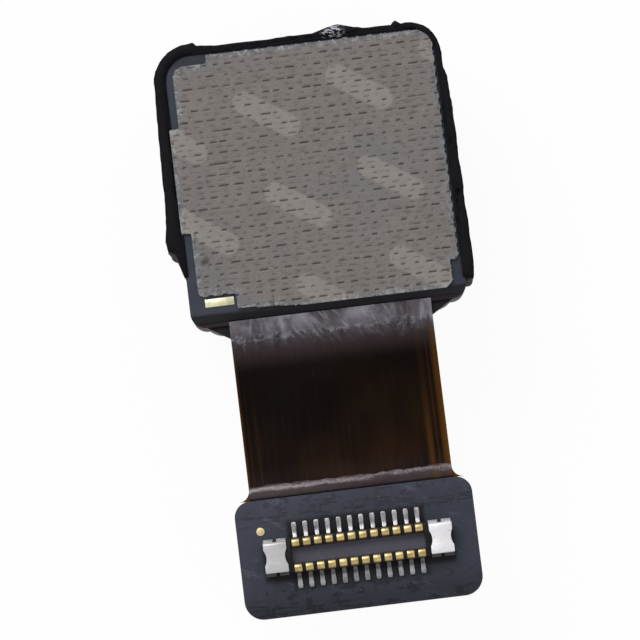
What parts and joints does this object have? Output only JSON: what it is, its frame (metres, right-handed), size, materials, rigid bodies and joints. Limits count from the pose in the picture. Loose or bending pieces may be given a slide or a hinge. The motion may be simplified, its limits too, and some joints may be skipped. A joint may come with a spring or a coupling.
{
  "type": "camera module",
  "caption": "Square autofocus camera module with a woven conductive back, on a rigid-flex tail that ends in a board-to-board plug.",
  "frame": {"origin": "on the optical axis, in the plane of the shield can's front face, which the module rests on", "axes": "+Z from the front face to the cloth-covered back, +Y away from the plug, +X to the right as seen from the back"},
  "size_m": [0.0094, 0.0182, 0.0058],
  "materials": {
    "can_metal": "satin black",
    "black_moulding": "fine matt",
    "barrel_black": "satin",
    "spring_metal": "bright rolled",
    "copper_wire": "enamelled",
    "magnet_nickel": "nickel plated",
    "gold_plating": "gold plated",
    "tinned_metal": "tin plated",
    "solder": "bright tin",
    "lens_clear": "coated",
    "filter_glass": "coated",
    "silicon": "polished",
    "chip_black": "ground",
    "capacitor_tan": "fired ceramic",
    "dark_laminate": "filmed laminate",
    "brown_flex": "polyimide film",
    "woven_cloth": "metallised weave",
    "grey_resin": "cured resin",
    "black_resin": "cured resin",
    "plug_black": "moulded",
    "black_tape": "torn edge"
  },
  "bodies": {
    "module": {"shield_can": "can_metal", "spacer_frame": "black_moulding", "upper_spring": "spring_metal", "magnet_1": "magnet_nickel", "magnet_2": "magnet_nickel", "magnet_3": "magnet_nickel", "magnet_4": "magnet_nickel", "lower_spring_left": "spring_metal", "lower_spring_right": "spring_metal", "terminal_left": "gold_plating", "terminal_right": "gold_plating", "actuator_base": "black_moulding", "ir_filter": "filter_glass", "sensor_holder": "black_moulding", "image_sensor": "silicon", "bond_wires": "gold_plating", "driver_chip": "chip_black", "memory_chip": "chip_black", "capacitor_1": "capacitor_tan", "capacitor_2": "capacitor_tan", "capacitor_3": "capacitor_tan", "capacitor_4": "capacitor_tan", "lower_board": "dark_laminate", "flex_circuit": "brown_flex", "upper_board": "dark_laminate", "conductive_cloth": "woven_cloth", "ground_pad": "gold_plating", "index_dot": "gold_plating", "root_bead": "grey_resin", "root_fillet": "black_resin", "connector_bead": "grey_resin", "connector_board": "dark_laminate", "connector_stiffener": "dark_laminate", "plug_housing": "plug_black", "contacts_row_1": "gold_plating", "contacts_row_2": "gold_plating", "solder_row_1": "solder", "solder_row_2": "solder", "hold_down_left": "tinned_metal", "hold_down_right": "tinned_metal", "side_tape": "black_tape"},
    "lens_group": {"lens_carrier": "black_moulding", "coil": "copper_wire", "lens_barrel": "barrel_black", "lens_retainer": "barrel_black", "lens_1": "lens_clear", "lens_2": "lens_clear", "lens_3": "lens_clear", "lens_4": "lens_clear", "lens_5": "lens_clear", "baffle_1": "barrel_black", "baffle_2": "barrel_black", "baffle_3": "barrel_black", "baffle_4": "barrel_black"}
  },
  "joints": [
    {"name": "focus_travel", "type": "slide", "parent": "module", "child": "lens_group", "axis": [0, 0, -1], "range_m": [0, 0.0003], "stiffness_N_per_m": 60, "springref_m": -0.00005, "deforming": ["upper_spring", "lower_spring_left", "lower_spring_right"]}
  ]
}
